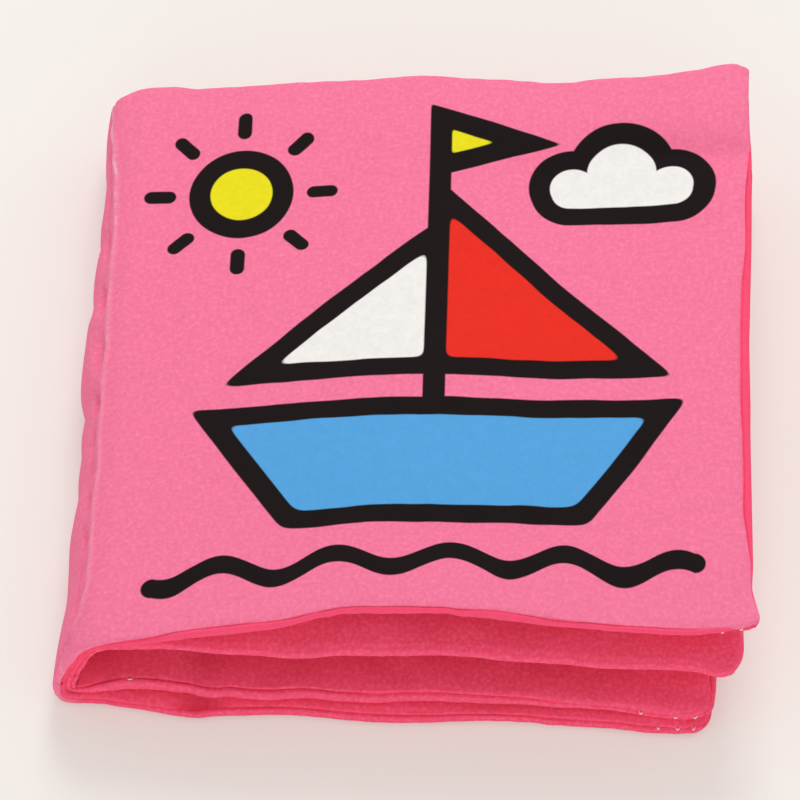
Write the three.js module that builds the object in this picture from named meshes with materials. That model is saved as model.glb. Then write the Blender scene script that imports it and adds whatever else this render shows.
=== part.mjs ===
import * as THREE from 'three';

// A soft cloth book of four padded leaves, lying shut on its back cover.
// Millimetres, +Z up, the spine at the left, the pages' near edge towards -Y.
// Two sewn spreads make it: the cover spread wraps round the spine, and the
// page spread is nested inside it and sewn along the middle of the spine.

// Pages
const pageHeight = 110;
const backCoverWidth = 108;
const pageWidth = 106.5;
const frontCoverWidth = 106.5;
const foreCornerRadius = 4.5;
const spineCornerRadius = 3.5;

// Layers of a leaf, from its lower cloth up
const clothThickness = 0.45;
const waddingThickness = 1.2;
const filmThickness = 0.1;
const crinkleHeight = 0.15;
const layerGap = 0.3;
const leafGap = 0.3;
const seamBand = 10;
const seamRise = 0.5;

// Spine
const spinePanelWidth = 15.2;
const spineWaddingThickness = 1;
const spineBulge = 1.2;
const spineLean = 2.4;
const pageFoldWidth = 9.3;
const pageFoldRise = 3.15;
const pageFoldInset = 2.6;
const pageFoldLean = 1.6;

// How far the sprung front cover stands over a flat stack at its highest
const springHeight = 13.4;

// Turn of each leaf on the one below, seen from above
const frontCoverSkew = THREE.MathUtils.degToRad(3.2);
const secondLeafSkew = THREE.MathUtils.degToRad(1.2);
const thirdLeafSkew = THREE.MathUtils.degToRad(-0.2);
const frontCoverDrawIn = 3.4;
const pageDrawIn = 2;
const backCoverDrawIn = -1;

// Places from the crease to the fore-edge where a leaf's height is known, and the
// heights there, as shares of springHeight over the leaf's place in a flat stack
const knotShares = [0, 0.1, 0.25, 0.5, 0.75, 1];
const frontCoverNearShares = [0.56, 0.72, 1, 0.96, 0.85];
const frontCoverFarShares = [0.45, 0.61, 0.8, 0.66, 0.98];
const secondLeafNearShares = [0.54, 0.55, 0.55, 0.48, 0.43];
const secondLeafFarShares = [0.4, 0.42, 0.42, 0.38, 0.45];
const thirdLeafNearShares = [0.31, 0.08, 0.06, 0.05, 0.06];
const thirdLeafFarShares = [0.19, 0.08, 0.05, 0.05, 0.05];
const backCoverShares = [0, 0, 0, 0, 0];

// Grid of a leaf: close lines in the seam band, wide ones between. The filling starts
// some lines in from the seam, on the same lines as the cloth over it
const bandStepShares = [0, 0.1, 0.3, 0.6, 1];
const fillingStart = 3;
const middleCells = 6;
const spineCells = 8;
const spineFillingStart = 2;

// Sizes that follow
const edgeHalf = clothThickness + layerGap / 2;
const filmZone = filmThickness + 2 * crinkleHeight;
const leafThickness = 2 * clothThickness + waddingThickness + filmZone + 3 * layerGap;
const leafHalf = leafThickness / 2;
const leafPitch = leafThickness + leafGap;
const spineHalf = clothThickness + layerGap + spineWaddingThickness / 2;
const hingeFlat = 2 * edgeHalf;
const creaseGap = layerGap / 2;
const lowerCrease = seamRise + hingeFlat + creaseGap;
const upperCrease = lowerCrease + spinePanelWidth;
const pageFoldBottom = lowerCrease + pageFoldRise;
const pageFoldTop = pageFoldBottom + pageFoldWidth;

const leaves = {
  backCover: {
    width: backCoverWidth,
    creaseX: 0,
    creaseHeight: lowerCrease - creaseGap - edgeHalf,
    stackPlace: 0,
    skew: 0,
    drawIn: backCoverDrawIn,
    nearShares: backCoverShares,
    farShares: backCoverShares,
  },
  thirdLeaf: {
    width: pageWidth,
    creaseX: pageFoldInset,
    creaseHeight: pageFoldBottom - creaseGap - edgeHalf,
    stackPlace: 1,
    skew: thirdLeafSkew,
    drawIn: pageDrawIn,
    nearShares: thirdLeafNearShares,
    farShares: thirdLeafFarShares,
  },
  secondLeaf: {
    width: pageWidth,
    creaseX: pageFoldInset + pageFoldLean,
    creaseHeight: pageFoldTop + creaseGap + edgeHalf,
    stackPlace: 2,
    skew: secondLeafSkew,
    drawIn: pageDrawIn,
    nearShares: secondLeafNearShares,
    farShares: secondLeafFarShares,
  },
  frontCover: {
    width: frontCoverWidth,
    creaseX: spineLean,
    creaseHeight: upperCrease + creaseGap + edgeHalf,
    stackPlace: 3,
    skew: frontCoverSkew,
    drawIn: frontCoverDrawIn,
    nearShares: frontCoverNearShares,
    farShares: frontCoverFarShares,
  },
};

// From 0 at a seam to 1 where the filling has its full thickness
function fullness(distance) {
  const share = THREE.MathUtils.clamp(distance / seamBand, 0, 1);
  return Math.sin(share * Math.PI / 2);
}

function leafFullness(leaf, along, across) {
  const fromCrease = along - hingeFlat;
  const fromFore = leaf.width - along;
  const fromEnds = Math.min(across, pageHeight - across);
  return fullness(Math.min(fromCrease, fromFore)) * fullness(fromEnds);
}

// Smooth curve through the heights at the knots, level where it leaves the crease
function curveHeight(heights, share) {
  const last = knotShares.length - 1;
  const slope = (i) => {
    if (i === 0) return 0;
    const next = Math.min(i + 1, last);
    return (heights[next] - heights[i - 1]) / (knotShares[next] - knotShares[i - 1]);
  };
  let cell = 0;
  while (cell < last - 1 && share > knotShares[cell + 1]) cell += 1;
  const span = knotShares[cell + 1] - knotShares[cell];
  const t = (share - knotShares[cell]) / span;
  const rise = t * t * (3 - 2 * t);
  return heights[cell] * (1 - rise) + heights[cell + 1] * rise
    + slope(cell) * span * t * (1 - t) * (1 - t) - slope(cell + 1) * span * t * t * (1 - t);
}

// Height of a leaf's middle surface, along from the crease and across from the near edge
function middleHeight(leaf, along, across) {
  if (leaf.stackPlace === 0) {
    return THREE.MathUtils.lerp(leaf.creaseHeight, leafHalf, leafFullness(leaf, along, across));
  }
  const flatHeight = leafHalf + leaf.stackPlace * leafPitch;
  const heights = (shares) => [leaf.creaseHeight, ...shares.map((s) => flatHeight + s * springHeight)];
  const share = Math.max(0, along - hingeFlat) / (leaf.width - hingeFlat);
  const far = curveHeight(heights(leaf.farShares), share);
  const near = curveHeight(heights(leaf.nearShares), share);
  const nearness = (1 - across / pageHeight) ** 1.5;
  return THREE.MathUtils.lerp(far, near, nearness);
}

// How far a rounded corner takes the near and far edges in, at a place along the leaf
function cornerInset(leaf, along) {
  const arc = (distance, radius) => {
    const gap = Math.max(0, radius - distance);
    return radius - Math.sqrt(radius * radius - gap * gap);
  };
  return arc(along, spineCornerRadius) + arc(leaf.width - along, foreCornerRadius);
}

// Point of a leaf, with offset measured up from its middle surface
function leafPoint(leaf, along, across, offset) {
  const inset = cornerInset(leaf, along);
  const acrossShare = across / pageHeight;
  const alongShare = along / leaf.width;
  const pull = leaf.drawIn * Math.sin(Math.PI * alongShare) * (1 - acrossShare) ** 2;
  const fromFar = (inset + acrossShare * (pageHeight - 2 * inset)) - pageHeight;
  const square = new THREE.Vector2(leaf.creaseX, pageHeight + fromFar);
  const turned = new THREE.Vector2(leaf.width, fromFar)
    .rotateAround(new THREE.Vector2(), leaf.skew)
    .add(new THREE.Vector2(leaf.creaseX, pageHeight));
  const place = square.lerp(turned, alongShare);
  return new THREE.Vector3(place.x, place.y + pull, middleHeight(leaf, along, across) + offset);
}

// Point of an upright sheet at the spine, up from its lower end and across from the near
// end, with offset measured outwards, to the left
function uprightPoint(sheet, up, across, offset) {
  const upShare = up / sheet.height;
  const gap = Math.max(0, spineCornerRadius - Math.min(up, sheet.height - up));
  const inset = spineCornerRadius - Math.sqrt(spineCornerRadius ** 2 - gap * gap);
  const x = sheet.x + sheet.lean * upShare - sheet.bulge * Math.sin(Math.PI * upShare);
  const y = inset + (across / pageHeight) * (pageHeight - 2 * inset);
  return new THREE.Vector3(x - offset, y, sheet.bottom + up);
}

const spinePanel = {
  x: edgeHalf,
  bottom: lowerCrease + creaseGap,
  height: spinePanelWidth - 2 * creaseGap,
  lean: spineLean,
  bulge: spineBulge,
};

function spinePanelHalf(up) {
  const share = Math.sin(Math.PI * THREE.MathUtils.clamp(up / spinePanel.height, 0, 1));
  return THREE.MathUtils.lerp(edgeHalf, spineHalf, share);
}

// The page fold bows out until it lies against the spine's inner cloth, where it is sewn
function makePageFold() {
  const sheet = {
    x: pageFoldInset + edgeHalf,
    bottom: pageFoldBottom + creaseGap,
    height: pageFoldWidth - 2 * creaseGap,
    lean: pageFoldLean,
    bulge: 0,
  };
  const seamHeight = sheet.bottom + sheet.height / 2;
  const up = seamHeight - spinePanel.bottom;
  const spineInside = uprightPoint(spinePanel, up, 0, -spinePanelHalf(up)).x;
  const straight = uprightPoint(sheet, sheet.height / 2, 0, 0).x;
  sheet.bulge = straight - (spineInside + layerGap + edgeHalf);
  return sheet;
}

const pageFold = makePageFold();

function evenSteps(start, end, cells) {
  return Array.from({ length: cells + 1 }, (_, i) => THREE.MathUtils.lerp(start, end, i / cells));
}

function bandedSteps(length) {
  const near = bandStepShares.map((share) => share * seamBand);
  const far = near.map((step) => length - step).reverse();
  const middle = evenSteps(seamBand, length - seamBand, middleCells).slice(1, -1);
  return [...near, ...middle, ...far];
}

// Closed solid between two offsets of one surface
function closedSheet(place, alongSteps, acrossSteps, upperOffset, lowerOffset) {
  const rows = acrossSteps.length;
  const columns = alongSteps.length;
  const positions = [];
  for (const offset of [upperOffset, lowerOffset]) {
    for (const along of alongSteps) {
      for (const across of acrossSteps) {
        positions.push(...place(along, across, offset(along, across)).toArray());
      }
    }
  }
  const upper = (i, j) => i * rows + j;
  const lower = (i, j) => (columns + i) * rows + j;
  const triangles = [];
  const quad = (a, b, c, d) => triangles.push(a, b, c, a, c, d);
  for (let i = 0; i < columns - 1; i += 1) {
    for (let j = 0; j < rows - 1; j += 1) {
      quad(upper(i, j), upper(i + 1, j), upper(i + 1, j + 1), upper(i, j + 1));
      quad(lower(i, j), lower(i, j + 1), lower(i + 1, j + 1), lower(i + 1, j));
    }
    quad(lower(i, 0), lower(i + 1, 0), upper(i + 1, 0), upper(i, 0));
    quad(upper(i, rows - 1), upper(i + 1, rows - 1), lower(i + 1, rows - 1), lower(i, rows - 1));
  }
  for (let j = 0; j < rows - 1; j += 1) {
    quad(upper(0, j), upper(0, j + 1), lower(0, j + 1), lower(0, j));
    quad(lower(columns - 1, j), lower(columns - 1, j + 1), upper(columns - 1, j + 1), upper(columns - 1, j));
  }
  const geometry = new THREE.BufferGeometry();
  geometry.setAttribute('position', new THREE.Float32BufferAttribute(positions, 3));
  geometry.setIndex(triangles);
  geometry.computeVertexNormals();
  return geometry;
}

const printedCloth = { color: 0xf2709a, roughness: 0.85, metalness: 0 };
const wadding = { color: 0xf4f2ec, roughness: 0.95, metalness: 0 };
const crinkleFilm = { color: 0xdfe6ea, roughness: 0.25, metalness: 0 };

const book = new THREE.Group();

function addPiece(name, geometry, finish) {
  const piece = new THREE.Mesh(geometry, new THREE.MeshStandardMaterial(finish));
  piece.name = name;
  book.add(piece);
}

function addLeaf(leaf, name, upperName, lowerName) {
  const place = (along, across, offset) => leafPoint(leaf, along, across, offset);
  const half = (along, across) => THREE.MathUtils.lerp(edgeHalf, leafHalf, leafFullness(leaf, along, across));
  const inside = (along, across) => half(along, across) - clothThickness;
  const clothColumns = bandedSteps(leaf.width);
  const clothRows = bandedSteps(pageHeight);
  addPiece(`${name}_${upperName}_cloth`, closedSheet(place, clothColumns, clothRows, half, inside), printedCloth);
  addPiece(`${name}_${lowerName}_cloth`, closedSheet(place, clothColumns, clothRows,
    (along, across) => -inside(along, across), (along, across) => -half(along, across)), printedCloth);

  const fillingColumns = clothColumns.slice(fillingStart, -fillingStart);
  const fillingRows = clothRows.slice(fillingStart, -fillingStart);
  const roof = (along, across) => inside(along, across) - layerGap;
  addPiece(`${name}_wadding`, closedSheet(place, fillingColumns, fillingRows,
    (along, across) => roof(along, across) - filmZone - layerGap,
    (along, across) => -roof(along, across)), wadding);

  const crinkle = (along, across) => {
    const line = fillingColumns.indexOf(along) + fillingRows.indexOf(across);
    return line % 2 === 0 ? crinkleHeight : -crinkleHeight;
  };
  const filmMiddle = (along, across) => roof(along, across) - filmZone / 2 + crinkle(along, across);
  addPiece(`${name}_crinkle_film`, closedSheet(place, fillingColumns, fillingRows,
    (along, across) => filmMiddle(along, across) + filmThickness / 2,
    (along, across) => filmMiddle(along, across) - filmThickness / 2), crinkleFilm);
}

function addSpine() {
  const place = (up, across, offset) => uprightPoint(spinePanel, up, across, offset);
  const upSteps = evenSteps(0, spinePanel.height, spineCells);
  const acrossSteps = bandedSteps(pageHeight);
  const inside = (up) => spinePanelHalf(up) - clothThickness;
  addPiece('spine_outer_cloth', closedSheet(place, upSteps, acrossSteps, spinePanelHalf, inside), printedCloth);
  addPiece('spine_inner_cloth', closedSheet(place, upSteps, acrossSteps,
    (up) => -inside(up), (up) => -spinePanelHalf(up)), printedCloth);
  const stripUps = upSteps.slice(spineFillingStart, -spineFillingStart);
  const stripRows = acrossSteps.slice(fillingStart, -fillingStart);
  const strip = (up) => inside(up) - layerGap;
  addPiece('spine_wadding', closedSheet(place, stripUps, stripRows, strip, (up) => -strip(up)), wadding);
}

function addPageFold() {
  const place = (up, across, offset) => uprightPoint(pageFold, up, across, offset);
  const upSteps = evenSteps(0, pageFold.height, spineCells);
  const acrossSteps = bandedSteps(pageHeight);
  const inside = edgeHalf - clothThickness;
  addPiece('page_fold_outer_cloth', closedSheet(place, upSteps, acrossSteps, () => edgeHalf, () => inside), printedCloth);
  addPiece('page_fold_inner_cloth', closedSheet(place, upSteps, acrossSteps, () => -inside, () => -edgeHalf), printedCloth);
}

addLeaf(leaves.frontCover, 'front_cover', 'outer', 'inner');
addLeaf(leaves.secondLeaf, 'second_leaf', 'upper', 'lower');
addLeaf(leaves.thirdLeaf, 'third_leaf', 'upper', 'lower');
addLeaf(leaves.backCover, 'back_cover', 'inner', 'outer');
addSpine();
addPageFold();

// The origin is the middle of the back cover's flat underside
book.position.set(-backCoverWidth / 2, -pageHeight / 2, 0);

export default book;
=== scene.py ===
import math

import bpy
import numpy as np
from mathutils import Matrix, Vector


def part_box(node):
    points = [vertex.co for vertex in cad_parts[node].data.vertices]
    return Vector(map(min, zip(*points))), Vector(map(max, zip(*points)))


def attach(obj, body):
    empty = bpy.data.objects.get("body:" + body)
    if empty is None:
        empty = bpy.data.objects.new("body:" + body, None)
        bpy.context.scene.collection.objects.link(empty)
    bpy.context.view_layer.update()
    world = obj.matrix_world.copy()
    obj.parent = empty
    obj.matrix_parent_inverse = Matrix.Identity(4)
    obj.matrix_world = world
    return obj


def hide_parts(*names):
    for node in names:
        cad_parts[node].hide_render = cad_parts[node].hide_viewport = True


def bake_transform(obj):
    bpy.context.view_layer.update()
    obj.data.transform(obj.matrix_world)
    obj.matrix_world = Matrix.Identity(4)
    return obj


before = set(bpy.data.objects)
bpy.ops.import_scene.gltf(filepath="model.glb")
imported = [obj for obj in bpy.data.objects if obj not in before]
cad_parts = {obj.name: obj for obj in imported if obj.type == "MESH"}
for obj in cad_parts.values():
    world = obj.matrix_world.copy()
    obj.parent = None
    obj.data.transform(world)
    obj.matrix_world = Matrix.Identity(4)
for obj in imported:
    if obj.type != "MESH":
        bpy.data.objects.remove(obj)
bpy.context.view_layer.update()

mm = 0.001
pageHeight = 110.0
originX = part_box("back_cover_outer_cloth")[0][0] / mm    # the spine's lower crease, in millimetres
originY = -pageHeight / 2                                # the near edge of the pages
underShift = 2 * pageHeight              # laid flat, the under cloth lies this far past the upper one
underFrom = 1.5 * pageHeight             # and all of it lies past this

view = {
    "elevation": 59.025,
    "azimuth": 3.311,
    "distance": 1.5929,
    "focalPixels": 9424.2,
    "target": (-0.00083, 0.00086, 0.01012),
    "picture": 800,
    "sensor": 36.0,
    "clip": (0.05, 20.0),
}

# A softbox is (direction, strength, narrowness)
studio = {
    "skyColour": (1.0, 0.985, 0.965),
    "skyLowest": 0.16,
    "softboxes": [
        ((0.03, 0.30, 0.95), 0.44, 2.0), ((-0.95, -0.10, 0.25), 0.58, 2.0), ((0.90, 0.10, 0.40), 0.51, 1.5),
        ((0.0, -1.0, 0.05), 2.35, 7.0),
    ],
    "paleColour": (0.93, 0.90, 0.86),
    "keyPlace": (0.05, 0.85, 0.95),
    "keySize": 0.5,
    "keyPower": 6.1,
    "floorColour": (0.920, 0.910, 0.880),
    "floorPale": (0.900, 0.840, 0.790),
    "floorLift": 0.4,
    "floorRoughness": 0.75,
    "floorSpecular": 0.2,
    "floorSize": 4.0,
    "floorDrop": 0.0001,
}


def deselectAll():
    if bpy.context.object and bpy.context.object.mode != "OBJECT":
        bpy.ops.object.mode_set(mode="OBJECT")
    bpy.ops.object.select_all(action="DESELECT")


def newObject(name, points, faces):
    mesh = bpy.data.meshes.new(name)
    mesh.from_pydata(points.tolist(), [], faces)
    mesh.update()
    obj = bpy.data.objects.new(name, mesh)
    bpy.context.scene.collection.objects.link(obj)
    return obj


def shadeSmooth(obj):
    deselectAll()
    obj.select_set(True)
    bpy.context.view_layer.objects.active = obj
    bpy.ops.object.shade_smooth()


# Camera and light

def aimAt(obj, target):
    direction = Vector(target) - obj.location
    obj.rotation_euler = direction.to_track_quat("-Z", "Y").to_euler()


def makeCamera():
    elevation = math.radians(view["elevation"])
    azimuth = math.radians(view["azimuth"])
    back = Vector((
        math.sin(azimuth) * math.cos(elevation),
        -math.cos(azimuth) * math.cos(elevation),
        math.sin(elevation),
    ))
    target = Vector(view["target"])
    bpy.ops.object.camera_add(location=target + back * view["distance"])
    camera = bpy.context.object
    camera.name = "view_camera"
    aimAt(camera, target)
    camera.data.sensor_width = view["sensor"]
    camera.data.lens = view["focalPixels"] / view["picture"] * view["sensor"]
    camera.data.clip_start, camera.data.clip_end = view["clip"]
    bpy.context.scene.camera = camera


def makeKeyLight():
    bpy.ops.object.light_add(type="AREA", location=studio["keyPlace"])
    lamp = bpy.context.object
    lamp.name = "key_light"
    lamp.data.shape = "DISK"
    lamp.data.size = studio["keySize"]
    lamp.data.energy = studio["keyPower"]
    aimAt(lamp, (0, 0, 0))


# Shader maths: a socket that adds its Math nodes as an expression is written

class Wire:
    def __init__(self, tree, socket):
        self.tree = tree
        self.socket = socket

    def join(self, operation, *values, clamp=False):
        node = self.tree.nodes.new("ShaderNodeMath")
        node.operation = operation
        node.use_clamp = clamp
        for place, value in zip(node.inputs, values):
            if isinstance(value, Wire):
                self.tree.links.new(value.socket, place)
            else:
                place.default_value = value
        return Wire(self.tree, node.outputs[0])

    def maths(self, operation, *others):
        return self.join(operation, self, *others)

    def __add__(self, other):
        return self.maths("ADD", other)

    def __sub__(self, other):
        return self.maths("SUBTRACT", other)

    def __rsub__(self, other):
        return self.join("SUBTRACT", other, self)

    def __mul__(self, other):
        return self.maths("MULTIPLY", other)

    def __truediv__(self, other):
        return self.maths("DIVIDE", other)

    def __pow__(self, other):
        return self.maths("POWER", other)

    def __abs__(self):
        return self.maths("ABSOLUTE")

    __radd__, __rmul__ = __add__, __mul__

    def clamped(self):
        return self.join("ADD", self, 0.0, clamp=True)

    def upTo(self, other):
        return self.maths("MINIMUM", other)

    def atLeast(self, other):
        return self.maths("MAXIMUM", other)


# The node tree of a material or of the world, with one way to add any node. A socket is named, or
# numbered where its node has several of one name

class Shade:
    def __init__(self, owner, surface="Principled BSDF"):
        owner.use_nodes = True
        self.owner = owner
        self.tree = owner.node_tree
        self.surface = self.tree.nodes[surface]

    def node(self, kind, settings=None, sockets=None):
        made = self.tree.nodes.new(kind)
        for name, value in (settings or {}).items():
            setattr(made, name, value)
        self.plug(made, sockets or {})
        return made

    def plug(self, node, sockets):
        for name, value in sockets.items():
            place = node.inputs[name]
            if isinstance(value, Wire):
                value = value.socket
            if isinstance(value, bpy.types.NodeSocket):
                self.tree.links.new(value, place)
            else:
                place.default_value = (*value, 1) if place.type == "RGBA" else value

    def wire(self, socket):
        return Wire(self.tree, socket)

    def mixColour(self, factor, first, second):
        made = self.node("ShaderNodeMix", {"data_type": "RGBA"}, {0: factor, 6: first, 7: second})
        return made.outputs[2]

    def coordinates(self, socket):
        split = self.node("ShaderNodeSeparateXYZ", sockets={"Vector": socket})
        return [self.wire(out) for out in split.outputs]

    def noise(self, vector, scale, detail, roughness):
        sockets = {"Vector": vector, "Scale": scale, "Detail": detail, "Roughness": roughness}
        return self.wire(self.node("ShaderNodeTexNoise", sockets=sockets).outputs[0])


# A white room with a wide soft light above, one at each side and one in front, pale where it is seen itself

def makeSky():
    bpy.context.scene.world = bpy.data.worlds.new("studio_world")
    shade = Shade(bpy.context.scene.world, "Background")
    place = shade.node("ShaderNodeTexCoord").outputs["Generated"]
    boxes = []
    for direction, strength, narrowness in studio["softboxes"]:
        towards = Vector(direction).normalized()
        facing = shade.node("ShaderNodeVectorMath", {"operation": "DOT_PRODUCT"}, {0: place, 1: towards})
        boxes.append(shade.wire(facing.outputs["Value"]).clamped() ** narrowness * strength)
    light = sum(boxes[1:], boxes[0]) + studio["skyLowest"]
    path = shade.node("ShaderNodeLightPath")
    seen = shade.wire(path.outputs["Is Camera Ray"])
    colour = shade.mixColour(seen, studio["skyColour"], studio["paleColour"])
    shade.plug(shade.surface, {"Strength": light * (1.0 - seen) + seen, "Color": colour})


# Printed cloth. A noise is (scale, detail, roughness)

cloth = {
    "pink": (0.945, 0.194, 0.354),
    # The same pink cloth painted deeper and redder: painted shade, for the pages, the back cover and the
    # cover's inner cloth
    "paintedShadePink": (0.988, 0.088, 0.195),
    "ink": (0.010, 0.007, 0.007),
    "red": (0.845, 0.030, 0.018),
    "white": (0.900, 0.885, 0.865),
    "blue": (0.095, 0.384, 0.775),
    "yellow": (0.850, 0.765, 0.014),
    "roughness": 0.85,
    "specular": 0.10,
    "sheen": 0.05,
    "sheenRoughness": 0.5,
    "grain": (1350.0, 2.0, 0.6),
    "grainShare": 0.08,
    "grainHeight": 2.2,
    "mottle": (420.0, 3.0, 0.6),
    "mottleShare": 0.07,
    "threadPitch": 0.30,
    "threadHeight": 0.5,
    "weaveBump": 0.35,
    "weaveDepth": 0.00006,
    "paleFibre": (1.000, 0.480, 0.600),
    "fibresFrom": 0.45,
    "fibreShare": 0.60,
    "footPlace": 20.0,
    "footRise": 0.2,
    "bareThread": (0.980, 0.700, 0.780),
    "worn": (260.0, 3.0, 0.7),
    "wornWidth": 0.32,
    "wornRise": 3.0,
    "wornFrom": 1.75,
    "wornFarRise": 0.03,
    "wornFarFrom": 2.3,
    "pressedWidth": 0.60,
    "pressedShare": 0.16,
    "edgeSoftness": 0.22,
}
noiseMiddle = 0.5

# The cover's picture, in millimetres from the upper crease and from the near edge. A puff of the
# cloud is (place, place, radius)
picture = {
    "line": 3.6,
    "cornerRound": 2.6,
    "pennantRound": 1.0,
    "hull": ((19.0, 42.0), (33.0, 20.0), (79.0, 20.0), (93.0, 42.0)),
    "mastFoot": (55.0, 42.0),
    "mastTop": (55.0, 100.5),
    "mainSail": ((55.0, 86.0), (55.0, 50.0), (90.0, 50.0)),
    "foreSail": ((55.0, 78.0), (55.0, 50.0), (25.0, 50.0)),
    "pennant": ((55.0, 101.0), (55.0, 91.5), (69.5, 96.3)),
    "sun": (22.0, 87.0),
    "sunRadius": 7.0,
    "rayCount": 8,
    "rayFrom": 12.2,
    "rayTo": 15.0,
    "rayWidth": 2.4,
    "cloud": ((77.3, 87.6, 5.8), (85.5, 90.4, 7.7), (93.7, 87.4, 5.6)),
    "cloudFoot": ((76.6, 86.6), (94.4, 86.6)),
    "cloudFootHeight": 4.8,
    "wavePlace": 10.5,
    "waveHeight": 1.8,
    "waveLength": 18.0,
    "waveFrom": 12.0,
    "waveTo": 97.0,
}


def halfPlane(x, y, start, end):
    # Distance to the line through two points, above nought on its right side
    dx, dy = end[0] - start[0], end[1] - start[1]
    length = math.hypot(dx, dy)
    nx, ny = dy / length, -dx / length
    return x * nx + y * ny - (start[0] * nx + start[1] * ny)


def corners(x, y, points, rounding):
    # Distance to an outline without hollows, below nought inside it
    area = sum(a[0] * b[1] - b[0] * a[1] for a, b in zip(points, points[1:] + points[:1]))
    points = points if area > 0 else points[::-1]
    sides = [halfPlane(x, y, start, end) for start, end in zip(points, points[1:] + points[:1])]
    distance = sides[0]
    for side in sides[1:]:
        distance = distance.maths("SMOOTH_MAX", side, rounding)
    return distance


def away(dx, dy):
    return (dx * dx + dy * dy).maths("SQRT")


def disc(x, y, centre, radius):
    return away(x - centre[0], y - centre[1]) - radius


def bar(x, y, start, end):
    # Distance to a straight stretch between two points
    dx, dy = end[0] - start[0], end[1] - start[1]
    square = dx * dx + dy * dy
    along = ((x - start[0]) * (dx / square) + (y - start[1]) * (dy / square)).clamped()
    return away(x - (along * dx + start[0]), y - (along * dy + start[1]))


def rays(x, y, centre, count, start, end):
    # Distance to short strokes round a centre, one stroke repeated
    dx, dy = x - centre[0], y - centre[1]
    outward = away(dx, dy)
    part = math.tau / count
    angle = dy.maths("ARCTAN2", dx) + (math.tau + part / 2)
    folded = angle.maths("MODULO", part) - part / 2
    along = outward * folded.maths("COSINE")
    return away(along - along.atLeast(start).upTo(end), outward * folded.maths("SINE"))


def paintPicture(shade, x, y, ground):
    half = picture["line"] / 2

    def inside(distance):
        return (0.5 - distance / cloth["edgeSoftness"]).clamped()

    filled = []
    for name, rounding, ink in (
        ("hull", "cornerRound", "blue"), ("mainSail", "cornerRound", "red"),
        ("foreSail", "cornerRound", "white"), ("pennant", "pennantRound", "yellow"),
    ):
        filled.append((corners(x, y, picture[name], picture[rounding]), cloth[ink]))
    filled.append((disc(x, y, picture["sun"], picture["sunRadius"]), cloth["yellow"]))
    cloud = bar(x, y, *picture["cloudFoot"]) - picture["cloudFootHeight"]
    for puffX, puffY, radius in picture["cloud"]:
        cloud = cloud.upTo(disc(x, y, (puffX, puffY), radius))
    filled.append((cloud, cloth["white"]))
    colour = ground
    for distance, ink in filled:
        colour = shade.mixColour(inside(distance), colour, ink)
    inked = bar(x, y, picture["mastFoot"], picture["mastTop"]) - half
    for distance, _ in filled:
        inked = inked.upTo(abs(distance) - half)
    held = x.atLeast(picture["waveFrom"]).upTo(picture["waveTo"])
    swell = (held * (math.tau / picture["waveLength"])).maths("SINE") * picture["waveHeight"]
    inked = inked.upTo(away(y - swell - picture["wavePlace"], x - held) - half)
    shine = rays(x, y, picture["sun"], picture["rayCount"], picture["rayFrom"], picture["rayTo"])
    inked = inked.upTo(shine - picture["rayWidth"] / 2)
    return shade.mixColour(inside(inked), colour, cloth["ink"])


def wearCrease(shade, y, place, ground):
    # Colour rubbed off in bits along the pressed crease, more at its far end, over an even faint lightening
    # along the whole crease line
    beside = shade.node("ShaderNodeUVMap", {"uv_map": "from_crease"})
    gap = abs(shade.coordinates(beside.outputs[0])[0] * (1 / mm))
    near = (1.0 - gap / cloth["wornWidth"]).clamped()
    pressed = (1.0 - gap / cloth["pressedWidth"]).clamped() * cloth["pressedShare"]
    patches = shade.noise(place, *cloth["worn"])
    far = (y * cloth["wornFarRise"] - cloth["wornFarFrom"]).clamped()
    worn = (patches * cloth["wornRise"] - cloth["wornFrom"] + far).clamped() * near
    return shade.mixColour(worn.atLeast(pressed), ground, cloth["bareThread"])


def makeCloth(name, pink, side):
    shade = Shade(bpy.data.materials.new(name))
    flat = shade.node("ShaderNodeUVMap", {"uv_map": "cloth_metres"}).outputs[0]
    x, y = (part * (1 / mm) for part in shade.coordinates(flat)[:2])
    grain = shade.noise(flat, *cloth["grain"])
    ground = pink
    if side == "back":
        # The back cover's cloth is the deeper pink, painted shade; up the spine from its foot the outer cloth
        # has the cover's own pink
        outer = (underFrom - y).clamped()
        turned = ((x + cloth["footPlace"]) * cloth["footRise"]).clamped() * outer
        ground = shade.mixColour(turned, pink, cloth["pink"])
    fibres = ((grain - cloth["fibresFrom"]) * cloth["fibreShare"]).clamped()
    ground = shade.mixColour(fibres, ground, cloth["paleFibre"])
    if side == "front":
        ground = paintPicture(shade, x, y, ground)
        ground = wearCrease(shade, y, flat, ground)
        # The cover's inner cloth takes the deeper pink, painted shade
        ground = shade.mixColour((y - underFrom).clamped(), ground, cloth["paintedShadePink"])
    mottle = shade.noise(flat, *cloth["mottle"]) - noiseMiddle
    light = (grain - noiseMiddle) * (2 * cloth["grainShare"]) + mottle * (2 * cloth["mottleShare"]) + 1.0
    toned = shade.node("ShaderNodeVectorMath", {"operation": "SCALE"}, {0: ground, "Scale": light})
    turn = math.tau / cloth["threadPitch"]
    weave = (x * turn).maths("SINE") * (y * turn).maths("SINE")
    bump = shade.node("ShaderNodeBump", sockets={
        "Strength": cloth["weaveBump"],
        "Distance": cloth["weaveDepth"],
        "Height": weave * cloth["threadHeight"] + (grain - noiseMiddle) * cloth["grainHeight"],
    })
    shade.plug(shade.surface, {
        "Base Color": toned.outputs[0],
        "Normal": bump.outputs[0],
        "Roughness": cloth["roughness"],
        "Specular IOR Level": cloth["specular"],
        "Sheen Weight": cloth["sheen"],
        "Sheen Roughness": cloth["sheenRoughness"],
        "Sheen Tint": cloth["pink"],
    })
    return shade.owner


# Floor

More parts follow.
